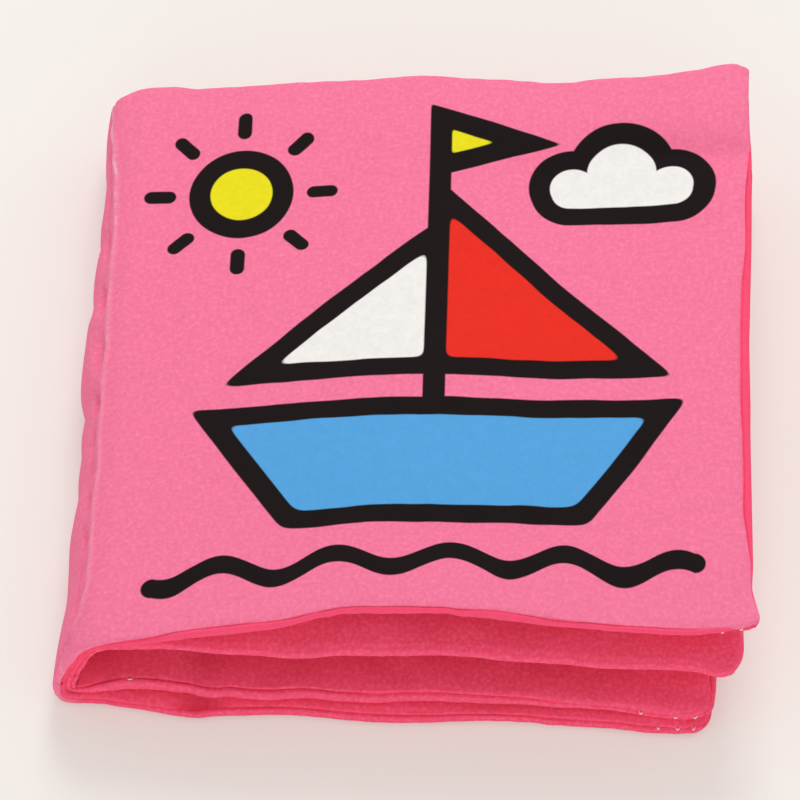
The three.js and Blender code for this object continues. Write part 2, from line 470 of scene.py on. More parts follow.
def makeFloor():
    deselectAll()
    bpy.ops.mesh.primitive_plane_add(size=studio["floorSize"], location=(0, 0, -studio["floorDrop"]))
    floor = bpy.context.object
    floor.name = "floor"
    bpy.ops.object.transform_apply(location=True)
    shade = Shade(bpy.data.materials.new("floor_paper"))
    shade.plug(shade.surface, {
        "Base Color": studio["floorColour"],
        "Roughness": studio["floorRoughness"],
        "Specular IOR Level": studio["floorSpecular"],
    })
    # To the camera the shadow on the paper is softer than the one that lights the object's sides
    pale = shade.node("ShaderNodeEmission", sockets={"Color": studio["floorPale"]})
    path = shade.node("ShaderNodeLightPath")
    direct, glossy, through = (
        shade.wire(path.outputs[ray]) for ray in ("Is Camera Ray", "Is Glossy Ray", "Is Transmission Ray")
    )
    seen = (direct + (glossy + through)) * studio["floorLift"]
    mixed = shade.node("ShaderNodeMixShader", sockets={
        0: seen, 1: shade.surface.outputs[0], 2: pale.outputs[0],
    })
    shade.plug(shade.tree.nodes["Material Output"], {"Surface": mixed.outputs[0]})
    floor.data.materials.append(shade.owner)


# The two spreads. A path is the middle of the pad, seen from the near side, in millimetres: (reach
# from the upper crease, place from the spine's lower crease, height). The edges' waves are (reach,
# inwards), the near lift is (reach, up), and the near roll is (reach, the seam's degrees above the
# pad's middle). Down the spine and along the leaf below it the reach is less than nought

underSpine = [
    (-10.5, 0.95, 6.0), (-13.5, 1.1, 3.4), (-15.6, 2.0, 2.1), (-18.5, 4.2, 1.7), (-28, 13.5, 1.7),
    (-124.0, 108.0, 1.7),
]

outerSpread = {
    "near": [
        (106.5, 108.9, 24.4), (80, 82.4, 25.7), (53, 55.4, 26.2), (27, 29.4, 22.6), (10, 12.4, 19.6),
        (4.2, 6.6, 18.4), (1.6, 4.0, 17.0), (-1.5, 2.1, 14.4), (-6.5, 0.1, 9.8), (-10.5, -0.85, 6.0),
        (-13.5, -0.95, 3.4), (-15.6, 0.1, 1.9), (-18.5, 3.0, 1.25), (-28, 12.5, 1.25), (-124.0, 108.0, 1.3),
    ],
    "middle": [
        (106.5, 108.9, 25.4), (80, 82.4, 23.4), (53, 55.4, 24.6), (27, 29.4, 21.6), (10, 12.4, 19.2),
        (4.2, 6.6, 18.3), (1.4, 4.5, 17.6), (-0.6, 3.4, 16.0), (-6.6, 1.3, 10.2), *underSpine,
    ],
    "far": [
        (106.5, 108.9, 25.4), (80, 82.4, 22.6), (53, 55.4, 24.8), (27, 29.4, 22.2), (10, 12.4, 19.3),
        (4.2, 6.4, 18.4), (1.2, 3.6, 17.7), (-0.8, 2.2, 16.3), (-6.6, 1.05, 10.2), *underSpine,
    ],
    "rimRadius": [(-124, 1.2), (106.5, 1.2)],
    "nearWave": [
        (-124, -1.2), (-119, -0.7), (-114, -0.6), (-108, 0), (-102, 0.3), (-98, 0.4), (-93, 0.75),
        (-88, 0.75), (-82, 0.4), (-77, -0.1), (-68, -0.5), (-59, -0.2), (-55, -0.1), (-51, -0.3),
        (-48, -0.6), (-44, -1.0), (-41, -1.4), (-38, -2.0), (-36, -1.9), (-33, -1.6), (-29, -1.1),
        (-25, -0.8), (-22, -0.5), (-19, -0.6), (-16, -0.9), (-12, -0.4), (-8, 0), (6, 0), (13, -0.4),
        (30, -0.5), (33, -0.2), (36, 0.4), (39, 0.9), (42, 1.2), (44, 1.1), (48, 0.65), (51, 0.6),
        (57, 0.7), (60, 0.3), (63, 0), (66, -0.3), (69, -0.5), (72, -0.6), (75, -0.7), (80, -0.8),
        (87, -1.0), (92, -1.0), (96, -0.9), (101, -0.3), (104, 0.2), (106.5, 0.4),
    ],
    "nearLift": [
        (-124, 0), (63, 0), (66, -0.3), (69, -0.5), (72, -0.7), (75, -0.9), (80, -1.1), (87, -1.2),
        (92, -1.2), (96, -1.1), (101, -0.5), (104, 0), (106.5, 0),
    ],
    "nearRoll": [
        (-124, -25), (-118, -42), (-60, -65), (-46, -66), (-36, -48), (-20, -28), (-10.5, -25), (-2, -20),
        (4, 0), (10, 30), (18, 70), (27, 72), (36, 52), (50, 62), (58, 50), (67, 70), (78, 52), (94, 54),
        (99, 40), (103, 8), (106.5, 0),
    ],
    "farWave": [
        (-124, 0), (-112, 0.2), (-98, -0.2), (-84, 0.1), (-70, 0.3), (-58, -0.1), (-41, 0.2), (-26, -0.1),
        (-14, 0), (-5, 0.4), (0, 0.9), (1, 0.7), (2, 0.3), (4, -0.3), (6, -0.45), (8, -0.5), (10.5, -0.3),
        (13, 0.2), (22, 0.2), (31, 0.1), (42, 0.3), (51, -0.1), (60, 0.5), (66, 0.65), (75, 1.2),
        (82, 0.75), (90, 1.1), (99, 0.8), (103, 0.15), (106.5, 0.4),
    ],
    "fold": (-16.0, 0.6),
    "seed": 11,
}

roundMiddle = [
    (1.2, 5.6, 14.8), (-1.0, 4.5, 13.3), (-5.0, 3.3, 9.5), (-8.6, 3.2, 6.4), (-10.6, 4.2, 5.0),
    (-14.0, 7.4, 5.3), (-21.5, 14.7, 6.6), (-33.5, 26.5, 6.0), (-56, 49.0, 5.9), (-88, 81.0, 5.9),
    (-115.4, 108.4, 5.9),
]

innerSpread = {
    "near": [
        (106.5, 110.7, 14.9), (80, 84.2, 15.5), (53, 57.2, 16.2), (27, 31.2, 16.0), (10, 14.2, 16.7),
        (4, 8.2, 16.7), (1.2, 5.4, 15.6), (-1.2, 3.9, 13.4), (-5.5, 2.3, 9.2), (-9.0, 1.4, 6.0),
        (-11.0, 1.4, 4.5), (-14.0, 4.0, 3.7), (-21.5, 11.4, 5.4), (-33.5, 23.3, 3.9), (-56, 45.8, 4.4),
        (-88, 77.8, 5.3), (-115.4, 105.4, 3.9),
    ],
    "middle": [
        (106.5, 110.7, 15.0), (80, 84.2, 14.7), (53, 57.2, 15.2), (27, 31.2, 15.2), (10, 14.2, 15.1),
        (4, 8.2, 15.1), *roundMiddle,
    ],
    "far": [
        (106.5, 110.7, 15.1), (80, 84.2, 14.2), (53, 57.2, 14.7), (27, 31.2, 14.7), (10, 14.2, 14.6),
        (4, 8.2, 14.9), *roundMiddle,
    ],
    "rimRadius": [(-115.4, 1.5), (-20, 1.5), (-11, 0.95), (1, 0.95), (106.5, 1.05)],
    "nearWave": [
        (-116.6, 0.8), (-110, 0.4), (-103, 0.5), (-100, 0.3), (-96, 0), (-92, -0.3), (-88, -0.2),
        (-85, -0.4), (-79, -0.7), (-71, -0.8), (-67, -1.1), (-62, -1.6), (-56, -1.5), (-51, -1.1),
        (-48, -1.3), (-45, -1.6), (-41, -1.4), (-38, -1.0), (-36, -1.3), (-34, -1.1), (-31, -0.5),
        (-26, -0.4), (-19, -0.5), (-14, -0.2), (-9, -0.4), (-4, 0.2), (2, 0.9), (11, 1.0), (16, 0.8),
        (21, 0.35), (28, 0.1), (33, -0.4), (36, -0.3), (41, 0.2), (51, 0.4), (59, 0.9), (63, 0.8),
        (68, 0.4), (78, 0.6), (83, 0.4), (87, 0.5), (93, 0.9), (98, 1.0), (103, 0.3), (106.5, 0),
    ],
    "nearLift": [(-116.6, 0), (106.5, 0)],
    "nearRoll": [
        (-115.4, 0), (-108, -10), (-100, -22), (-92, -32), (-86, -43), (-75, -54), (-60, -58), (-45, -66),
        (-36, -66), (-26, -76), (-18, -74), (-13, -50), (-9, -10), (1, 0), (8, -30), (106.5, -35),
    ],
    "farWave": [
        (-118, 0), (-104, 0.2), (-90, -0.1), (-76, 0.2), (-60, -0.2), (-44, 0.1), (-28, -0.1), (-10, 0),
        (0, 0.3), (12, 0), (26, 0.3), (41, 0.1), (55, 0.4), (70, 0.2), (84, 0.5), (98, 0.2), (106.5, 0.3),
    ],
    "fold": (-10.6, 0.2),
    "seed": 37,
}

pad = {
    "rimRings": 9,
    "ringCrowding": 1.5,
    "rimSteps": (0.4, 0.9, 1.5, 2.2, 3.0, 3.8),
    "cell": 0.85,
    "fineCell": 0.3,
    "fineReach": (-4.5, 3.6),
    "crownBand": 11.0,
    "grooveDepth": 0.48,
    "grooveWidth": 0.22,
    "puckerLength": 3.4,
    "puckerHeight": 0.09,
    "puckerDecay": 2.6,
    "rimWaveDecay": 6.0,
    "wrinkleFade": 14.0,
    "wrinkleHeight": 1.0,
    "wrinkleShift": 0.2,
    "leanFrom": 0.2,
    "leanTo": 0.5,
    "leanDecay": 4.0,
    "billow": 0.12,
    "billowLength": 17.0,
    "edgeFade": 6.5,
    "farthestRoll": 78.0,
    "rollWaveLength": 18.0,
    "spineMiddle": -8.0,
    "spineCalm": (8.0, 16.0),
    "lipWidth": 0.8,
    "creaseWidth": 2.4,
    "creasePress": 0.85,
    "foldEase": 3.0,
    "foldFilling": 0.25,
    "overshoot": 1.02,
    "normalStep": 0.05,
}

waveSizes = (0.65, 1.6)                  # the shortest and the longest wave, as shares of their length
seedSteps = {"roll": 1, "sidePucker": 6, "forePucker": 9, "billow": 12}
nearNought = 1e-9                        # keeps the rims' weights from adding up to nought

# The pressed crease along the spine, on the outer cloth. Its line is (place from the near edge, reach)
ridge = {
    "line": [
        (0, -6.2), (2, -4.2), (4, -1.2), (6, 0.6), (9, 1.6), (12, 2.0), (17, 2.0), (22, 1.8), (28, 1.7),
        (35, 1.9), (42, 1.5), (47, 1.65), (52, 1.3), (57, 1.5), (62, 1.2), (68, 1.2), (73, 1.15), (80, 1.3),
        (87, 1.05), (92, 0.85), (95, 0.5), (99, 0.2), (102, -0.3), (106, -0.9), (110, -1.0),
    ],
    "height": 0.42,
    "width": 0.34,
    "valleyPlace": 2.1,
    "lumps": 0.4,
    "lumpLength": 7.0,
    "valleyDepth": 0.9,
    "valleyWidth": 1.1,
    "valleyLumps": 0.45,
    "valleyWave": 9.0,
    "nearFade": 3.0,
    "farFade": 4.0,
    "seed": 71,
}

# The front cover sags a little across its far half, and its far corner turns up past that valley. A
# row is (place from the near edge, up), and each grows over its stretch of reach
cornerLift = {
    "rise": [(86, 0), (90, 0.1), (93, 0.4), (96, 1.1), (99, 1.7), (102, 2.1), (106, 2.35), (111, 2.4)],
    "riseReach": (44.0, 98.0),
    "sag": [
        (44, 0), (56, -0.2), (68, -0.6), (78, -0.9), (86, -0.9), (94, -0.6), (100, -0.2), (106, 0), (111, 0),
    ],
    "sagReach": (6.0, 30.0),
}

# Soft hollows in the cover's face: (reach, place from the near edge, direction in degrees, half its
# length, half its width, depth)
hollows = [
    (98, 93.5, -8, 12, 2.8, 1.10), (100, 79, 12, 8, 2.2, 0.45), (97, 20, 15, 7, 2.4, 0.50),
    (9, 60, 8, 9, 2.2, 0.40), (16, 30, -20, 10, 2.6, 0.30), (60, 16, 4, 16, 3.0, 0.35),
    (24, 8, 12, 9, 1.6, 0.40), (40, 5.5, 20, 6, 1.4, 0.30), (84, 7, -6, 12, 2.0, 0.35),
]

# The spine's waves along the book: (place from the near edge, outwards). They fade in and out over
# the two stretches of reach
spineCloth = {
    "waves": [
        (0, -0.4), (5, -0.6), (10, -0.9), (15, -1.2), (21, -0.95), (27, -0.6), (31, -0.8), (35, -1.1),
        (39, -0.8), (43, -0.9), (47, -0.6), (51, -0.9), (54.5, 0.1), (56.5, 0.4), (59.5, 0.5),
        (63.5, 0.4), (66.5, 0.3), (68.5, -0.15), (72, -0.5), (76, -0.2), (80, -0.4), (83, -1.0),
        (86, -0.5), (91, -0.8), (96, -0.9), (101, -0.4), (105, -0.2), (110, -0.3),
    ],
    "from": (-17.5, -14.5),
    "to": (-2.0, 0.5),
}

# What differs from pad to pad. The span is the pad's stretch of reach, and the crown is its padding's
# height over its middle, above and below. The bend is where it starts and ends to bend at its joint, as
# (place, height). The skew turns it about its crease, in degrees, and drawIn pulls its near side in. A
# fore row is (place from the near edge, the seam's degrees above the pad's middle, how far the seam
# leans in over the pad, outwards), and a dent is (reach, place from the near edge, depth, width), in the
# pad's inner cloth. The wrinkles are (the page's cloth that lies on top, mirrored, turned)
pads = {
    "front_cover_pad": {
        "spread": outerSpread,
        "span": (-10.5, 106.5),
        "bodies": ("spine", "front_cover"),
        "rides": "front_cover",
        "crown": (2.1, 2.0),
        "bend": ((0.6, 12.5), (8.0, 19.5)),
        "crease": 0.0,
        "skew": 3.2,
        "drawIn": 3.4,
        "corner": 2.3,
        "fore": [
            (0, 0, 0, 0.6), (2, 0, 0, 0.7), (4, 0, 0, 0.4), (6, 5, 0, -0.1), (8, 10, 0, -0.5),
            (13, 35, 0, -0.3), (18, 68, 0, -0.3), (22, 78, 0.25, -0.3), (30, 78, 0.15, -0.3),
            (37, 78, 0.2, -0.3), (44, 78, 0.45, -0.2), (54, 78, 0.35, -0.2), (60, 78, 0.4, 0),
            (66, 78, 0.3, 0.2), (75, 68, 0, 0.5), (84, 72, 0, 0.7), (89, 55, 0, 0.85), (93, 15, 0, 0.8),
            (97, 0, 0, 0.6), (101, 0, 0, 0.5), (106, -15, 0, 0.5), (110, -30, 0, 0.7),
        ],
        "farRoll": -30.0,
        "rollSpread": 14.0,
        "dents": [],
        "wrinkles": (0, False, False),
        "nodes": ["front_cover_outer_cloth", "front_cover_inner_cloth", "front_cover_wadding",
                  "front_cover_crinkle_film", "spine_outer_cloth", "spine_inner_cloth", "spine_wadding"],
    },
    "back_cover_pad": {
        "spread": outerSpread,
        "span": (-124.0, -10.5),
        "bodies": ("back_cover", "spine"),
        "rides": "back_cover",
        "crown": (1.7, 1.7),
        "bend": ((5.0, 1.0), (0.4, 5.2)),
        "crease": -16.0,
        "skew": 0.0,
        "drawIn": -1.0,
        "corner": 4.0,
        "fore": [
            (0, -25, 0, 0.3), (6, -20, 0, 0.3), (14, -10, 0, 0.1), (30, -25, 0, -0.2), (47, 5, 0, 0.1),
            (62, -15, 0, -0.1), (80, -30, 0, 0.2), (96, 0, 0, -0.1), (110, 10, 0, 0),
        ],
        "farRoll": 0.0,
        "rollSpread": 12.0,
        "dents": [(-38.5, 2.0, 1.6, 3.0)],
        "wrinkles": (1, True, False),
        "nodes": ["back_cover_inner_cloth", "back_cover_outer_cloth", "back_cover_wadding",
                  "back_cover_crinkle_film"],
    },
    "second_leaf_pad": {
        "spread": innerSpread,
        "span": (-6.0, 106.5),
        "bodies": ("spine", "second_leaf"),
        "rides": "second_leaf",
        "crown": (2.3, 2.3),
        "bend": ((3.4, 11.0), (9.0, 16.0)),
        "crease": 0.0,
        "skew": 1.2,
        "drawIn": 2.0,
        "corner": 4.6,
        "fore": [
            (0, -30, 0, -0.3), (2, -30, 0, -0.2), (4, -30, 0, 0.05), (6, -35, 0, 0.25), (9, -35, 0, 0.1),
            (15, -35, 0, -0.1), (26, -15, 0, -0.2), (41, -35, 0, -0.3), (57, -10, 0, -0.4),
            (70, -30, 0, -0.8), (82, -20, 0, -1.3), (96, -35, 0, -1.2), (110, -10, 0, -0.8),
        ],
        "farRoll": -20.0,
        "rollSpread": 15.0,
        "dents": [],
        "wrinkles": (1, False, True),
        "nodes": ["second_leaf_upper_cloth", "second_leaf_lower_cloth", "second_leaf_wadding",
                  "second_leaf_crinkle_film", "page_fold_outer_cloth", "page_fold_inner_cloth"],
    },
    "third_leaf_pad": {
        "spread": innerSpread,
        "span": (-118.0, -6.0),
        "bodies": ("third_leaf", "spine"),
        "rides": "third_leaf",
        "crown": (2.2, 1.7),
        "bend": ((8.0, 5.0), (3.0, 8.2)),
        "crease": -10.6,
        "skew": -0.2,
        "drawIn": 2.0,
        "corner": 3.2,
        "fore": [
            (0, -20, 0, 0.7), (2.5, -30, 0, 0.75), (5, -50, 0, 0.75), (7, -65, 0, 0.65),
            (10, -75, 0, 0.4), (16, -76, 0, 0.2), (28, -50, 0, 0), (44, -20, 0, 0), (60, -45, 0, -0.2),
            (78, -15, 0, 0.1), (95, -35, 0, 0), (110, -10, 0, 0),
        ],
        "farRoll": -20.0,
        "rollSpread": 10.0,
        "dents": [(-33.5, 8.0, 1.2, 4.0)],
        "wrinkles": (0, True, True),
        "nodes": ["third_leaf_upper_cloth", "third_leaf_lower_cloth", "third_leaf_wadding",
                  "third_leaf_crinkle_film"],
    },
}


def smoothThrough(knots, values, at):
    # Smooth curve through the knots, in rising order, without overshoot, and straight past them
    knots = np.asarray(knots, float)
    values = np.asarray(values, float)
    steps = np.diff(knots)
    slopes = np.diff(values) / steps
    tangents = np.zeros(len(knots))
    tangents[0], tangents[-1] = slopes[0], slopes[-1]
    for i in range(1, len(knots) - 1):
        a, b = slopes[i - 1], slopes[i]
        if a * b > 0:
            first, second = 2 * steps[i] + steps[i - 1], steps[i] + 2 * steps[i - 1]
            tangents[i] = (first + second) / (first / a + second / b)
    held = np.clip(at, knots[0], knots[-1])
    past = np.where(at < held, tangents[0], tangents[-1]) * (at - held)
    cell = np.clip(np.searchsorted(knots, held) - 1, 0, len(steps) - 1)
    t = (held - knots[cell]) / steps[cell]
    rise = t * t * (3 - 2 * t)
    lead = tangents[cell] * steps[cell] * t * (1 - t) ** 2
    tail = tangents[cell + 1] * steps[cell] * t * t * (1 - t)
    return values[cell] * (1 - rise) + values[cell + 1] * rise + lead - tail + past


def tableCurve(rows, column, at):
    return smoothThrough([row[0] for row in rows], [row[column] for row in rows], at)


def heldCurve(rows, at):
    # The same, level past the table's ends
    return tableCurve(rows, 1, np.clip(at, rows[0][0], rows[-1][0]))


def easeIn(value, start, stop):
    share = np.clip((value - start) / (stop - start), 0, 1)
    return share * share * (3 - 2 * share)


def ripple(a, b, length, seed, waves=9):
    # Soft irregular waves over a surface, of about one unit's height
    draw = np.random.RandomState(seed)
    total = np.zeros(np.broadcast(a, b).shape)
    for _ in range(waves):
        angle = draw.uniform(0, math.tau)
        size = length * draw.uniform(*waveSizes)
        phase = draw.uniform(0, math.tau)
        total = total + np.cos(math.tau * (a * math.cos(angle) + b * math.sin(angle)) / size + phase)
    return total / math.sqrt(waves / 2)


def alongWaves(a, length, seed, waves=6):
    # The same along one line
    draw = np.random.RandomState(seed)
    total = np.zeros(np.shape(a))
    for _ in range(waves):
        size = length * draw.uniform(*waveSizes)
        total = total + np.cos(math.tau * a / size + draw.uniform(0, math.tau))
    return total / math.sqrt(waves / 2)


def sewnCloths(onSeam):
    # Point numbers of two cloths on one grid, which share the points of their seam, and their faces
    top = np.arange(onSeam.size).reshape(onSeam.shape)
    bottom = top.copy()
    bottom[~onSeam] = onSeam.size + np.arange((~onSeam).sum())
    faces = [
        np.stack([top[:-1, :-1], top[1:, :-1], top[1:, 1:], top[:-1, 1:]], -1),
        np.stack([bottom[:-1, :-1], bottom[:-1, 1:], bottom[1:, 1:], bottom[1:, :-1]], -1),
    ]
    return top, bottom, np.concatenate(faces).reshape(-1, 4)


# Wrinkles of a filled page, from a simulation of its two cloths sewn together and blown up a little.
# They are worked at ten times the size, where the solver is steady

blank = {
    "width": 107.0,
    "height": 110.0,
    "cells": 68,
    "scale": 10.0,
    "halfThickness": 1.7,
    "rimBand": 10.0,
    "frames": 25,
    "finest": 0.7,
    "coarsest": 6.0,
    "solver": {
        "quality": 6,
        "mass": 0.1,
        "tension_stiffness": 30.0,
        "compression_stiffness": 30.0,
        "shear_stiffness": 5.0,
        "bending_stiffness": 0.05,
        "air_damping": 5.0,
        "use_internal_springs": True,
        "internal_tension_stiffness": 4.0,
        "internal_compression_stiffness": 4.0,
        "use_pressure": True,
        "uniform_pressure_force": 1.5,
        "vertex_group_shrink": "seam",
        "shrink_min": 0.0,
        "shrink_max": 0.05,
    },
}


def sewnBlank():
    count = blank["cells"] + 1
    across, up = np.meshgrid(
        np.linspace(0, blank["width"], count), np.linspace(0, blank["height"], count), indexing="ij"
    )
    inward = np.minimum(np.minimum(across, blank["width"] - across), np.minimum(up, blank["height"] - up))
    height = blank["halfThickness"] * np.sin(np.clip(inward / blank["rimBand"], 0, 1) * math.pi / 2)
    onSeam = inward <= 0
    top, bottom, faces = sewnCloths(onSeam)
    points = np.concatenate([
        np.stack([across, up, height], -1).reshape(-1, 3), np.stack([across, up, -height], -1)[~onSeam],
    ])
    obj = newObject("sewn_blank", points * blank["scale"] * mm, faces.tolist())
    seam = obj.vertex_groups.new(name="seam")
    seam.add([int(i) for i in top[onSeam]], 1.0, "REPLACE")
    return obj, np.stack([top, bottom])


def softened(field, width):
    # A field over the blank, blurred both ways
    reach = int(3 * width)
    weights = np.exp(-0.5 * (np.arange(-reach, reach + 1) / width) ** 2)
    weights = weights / weights.sum()
    for axis in (0, 1):
        padding = [(reach, reach) if i == axis else (0, 0) for i in range(field.ndim)]
        wide = np.pad(field, padding, mode="edge")
        places = np.arange(field.shape[axis])
        field = sum(weight * np.take(wide, places + i, axis) for i, weight in enumerate(weights))
    return field


def simulateWrinkles():
    obj, numbers = sewnBlank()
    rest = np.array([vertex.co for vertex in obj.data.vertices])
    sewing = obj.modifiers.new("sewn_cloth", "CLOTH")
    for name, value in blank["solver"].items():
        setattr(sewing.settings, name, value)
    sewing.settings.effector_weights.gravity = 0
    sewing.collision_settings.use_self_collision = False
    sewing.point_cache.frame_start = 1
    sewing.point_cache.frame_end = blank["frames"]
    for time in range(1, blank["frames"] + 1):
        bpy.context.scene.frame_set(time)
    filled = obj.evaluated_get(bpy.context.evaluated_depsgraph_get()).to_mesh()
    moved = np.array([vertex.co for vertex in filled.vertices]) - rest
    bpy.data.objects.remove(obj, do_unlink=True)
    bpy.context.scene.frame_set(1)
    moves = moved[numbers] / (blank["scale"] * mm)
    fine, coarse = blank["finest"], blank["coarsest"]
    return np.stack([softened(field, fine) - softened(field, coarse) for field in moves])


def wrinkleMoves(moves, spec, side, inwards, across):
    # The page's wrinkles at places on a pad: along it, across it and out of it. Both cloths of a pad
    # take the page's downward moves as outward ones
    low, high = spec["span"]
    length = (high - spec["crease"]) if high > 0 else (spec["crease"] - low)
    cells = blank["cells"]
    ply, flip, swap = spec["wrinkles"]
    field = moves[ply if side > 0 else 1 - ply]
    a = np.clip(1 - inwards / length, 0, 1) * cells
    b = np.clip(across / pageHeight, 0, 1) * cells
    if flip:
        b = cells - b
    if swap:
        a, b = b, a
    i = np.clip(a.astype(int), 0, cells - 1)
    j = np.clip(b.astype(int), 0, cells - 1)
    fa, fb = (a - i)[..., None], (b - j)[..., None]
    found = (field[i, j] * (1 - fa) + field[i + 1, j] * fa) * (1 - fb)
    found = found + (field[i, j + 1] * (1 - fa) + field[i + 1, j + 1] * fa) * fb
    if swap:
        found = found[..., [1, 0, 2]]
    found = found * [1 if high > 0 else -1, -1 if flip else 1, -1]
    return np.moveaxis(found * np.clip((length - inwards) / pad["wrinkleFade"], 0, 1)[..., None], -1, 0)


def padLines(low, high, rimLow, rimHigh, radius, fine=None):
    # Grid lines from one side of a pad to the other, and each line's ring on the rim or -1
    band = [radius + step for step in pad["rimSteps"]]
    start = low + (band[-1] if rimLow else 0)
    stop = high - (band[-1] if rimHigh else 0)
    marks = [start] + [mark for mark in fine or () if start < mark < stop] + [stop]
    lines = [start]
    for first, last in zip(marks, marks[1:]):
        inFine = fine and fine[0] < (first + last) / 2 < fine[1]
        cell = pad["fineCell"] if inFine else pad["cell"]
        lines += list(np.linspace(first, last, max(1, round((last - first) / cell)) + 1))[1:]
    ring = [-1] * len(lines)
    rings = pad["rimRings"]
    if rimLow:
        inner = [low + d for d in band[:-1]]
        lines = [low] * (rings + 1) + inner + lines
        ring = list(range(rings + 1)) + [-1] * len(inner) + ring
    if rimHigh:
        inner = [high - d for d in reversed(band[:-1])]
        lines = lines + inner + [high] * (rings + 1)
        ring = ring + [-1] * len(inner) + list(reversed(range(rings + 1)))
    return np.array(lines), np.array(ring)


def pathPoint(spread, reach, across):
    # Middle of the pad at a reach along it and a place across it
    share = np.clip(across / pageHeight, 0, 1)
    nearness = (1 - share) ** 3
    farness = share ** 2
    out = []
    for column in (1, 2):
        near, middle, far = (
            tableCurve(spread[edge][::-1], column, reach) for edge in ("near", "middle", "far")
        )
        out.append(near * nearness + far * farness + middle * (1 - nearness - farness))
    return out


def roundCorner(spec, reach, across, rimAtHigh):
    # Takes the fore-edge's square corners in to round ones
    radius = spec["corner"]
    low, high = spec["span"]
    inward = (high - reach) if rimAtHigh else (reach - low)
    a = np.clip(1 - inward / radius, 0, 1)
    out = across.copy()
    move = np.zeros_like(reach)
    for near in (True, False):
        depth = across if near else pageHeight - across
        b = np.clip(1 - depth / radius, 0, 1)
        move = move + (a - a * np.sqrt(1 - b * b / 2)) * radius
        shift = (b - b * np.sqrt(1 - a * a / 2)) * radius
        out = out + (shift if near else -shift)
    return (reach - move if rimAtHigh else reach + move), out


def placePad(spec, reach, across):
    # Place of the pad's middle surface, before its thickness is added
    spread = spec["spread"]
    x, z = pathPoint(spread, reach, across)
    low, high = spec["span"]
    upper = high > 0
    crease = spec["crease"]
    width = (high - crease) if upper else (crease - low)
    share = np.clip((reach - crease) / width if upper else (crease - reach) / width, 0, pad["overshoot"])
    skew = math.radians(spec["skew"])
    fromFar = across - pageHeight
    x = x - share * (fromFar * math.sin(skew) + width * share * (1 - math.cos(skew)))
    nearShare = np.clip(1 - across / pageHeight, 0, pad["overshoot"])
    pull = spec["drawIn"] * np.sin(math.pi * np.clip(share, 0, 1)) * nearShare ** 2
    y = across + share * (share * width * math.sin(skew) + fromFar * (math.cos(skew) - 1)) + pull
    fade = np.exp(-np.clip(across, 0, None) / pad["edgeFade"])
    y = y + fade * tableCurve(spread["nearWave"], 1, reach)
    z = z + fade * tableCurve(spread["nearLift"], 1, reach)
    if spread is outerSpread:
        onSpine = easeIn(reach, *spineCloth["from"]) * (1 - easeIn(reach, *spineCloth["to"]))
        x = x - onSpine * tableCurve(spineCloth["waves"], 1, across)
        for table, span in (("rise", "riseReach"), ("sag", "sagReach")):
            z = z + heldCurve(cornerLift[table], across) * easeIn(reach, *cornerLift[span])
    return np.stack([x, y, z], -1)


def ringShape(ring, seamAngle, side, radius):
    # One ring of the rim, which runs from the seam to the pad's face: its inset, the seam's height, its
    # own share of the way from that to the face, its arc and how far it leans with the seam
    rings = pad["rimRings"]
    end = side * math.pi / 2
    t = np.where(ring < 0, 1.0, (np.clip(ring, 0, rings) / rings) ** pad["ringCrowding"])
    angle = seamAngle + (end - seamAngle) * t
    arc = np.abs(angle - seamAngle) * radius
    reduced = radius - pad["grooveDepth"] * np.exp(-(arc / pad["grooveWidth"]) ** 2)
    onSeamSide = np.sign(seamAngle) * angle
    lean = easeIn(onSeamSide, pad["leanFrom"], np.maximum(np.abs(seamAngle), pad["leanTo"]))
    inset = np.where(ring < 0, 0.0, radius - reduced * np.cos(angle))
    base = (radius - pad["grooveDepth"]) / radius * np.sin(seamAngle)
    height = np.where(ring < 0, float(side), reduced / radius * np.sin(angle))
    beyond = np.where(ring < 0, 0.0, np.abs(end - angle) * radius - radius)
    return inset, base, (height - base) / (side - base), beyond, lean


def pressedHollows(reach, across):
    depth = 0
    for place, up, degrees, long, wide, deep in hollows:
        turn = math.radians(degrees)
        dx, dy = reach - place, across - up
        along = (dx * math.cos(turn) + dy * math.sin(turn)) / long
        beside = (dy * math.cos(turn) - dx * math.sin(turn)) / wide
        depth = depth + deep * np.exp(-along ** 2 - beside ** 2)
    return depth


def pastCrease(reach, across):
    return reach - tableCurve(ridge["line"], 1, across)


def creaseRidge(reach, across):
    # The pressed line along the upper crease, and the hollow beside it
    past = pastCrease(reach, across)
    lump = 1 + ridge["lumps"] * alongWaves(across, ridge["lumpLength"], ridge["seed"])
    height = ridge["height"] * lump * np.exp(-(past / ridge["width"]) ** 2)
    deep = 1 + ridge["valleyLumps"] * alongWaves(across, ridge["valleyWave"], ridge["seed"] + 1)
    beside = (past + ridge["valleyPlace"]) / ridge["valleyWidth"]
    hollow = ridge["valleyDepth"] * deep * np.exp(-beside ** 2)
    fade = np.clip(across / ridge["nearFade"], 0, 1)
    return (height - hollow) * (fade * np.clip((pageHeight - across) / ridge["farFade"], 0, 1))


def rimRolls(spec, reach, across):
    # How far the seam has rolled up, at the fore-edge and at the near and far edges
    spread = spec["spread"]
    waves = alongWaves(reach, pad["rollWaveLength"], spread["seed"] + seedSteps["roll"])
    far = spec["farRoll"] + spec["rollSpread"] * waves
    far = far * easeIn(np.abs(reach - pad["spineMiddle"]), *pad["spineCalm"])
    sides = np.where(across < pageHeight / 2, tableCurve(spread["nearRoll"], 1, reach), far)
    limit = pad["farthestRoll"]
    fore = tableCurve(spec["fore"], 1, across)
    return [np.radians(np.clip(roll, -limit, limit)) for roll in (fore, sides)]


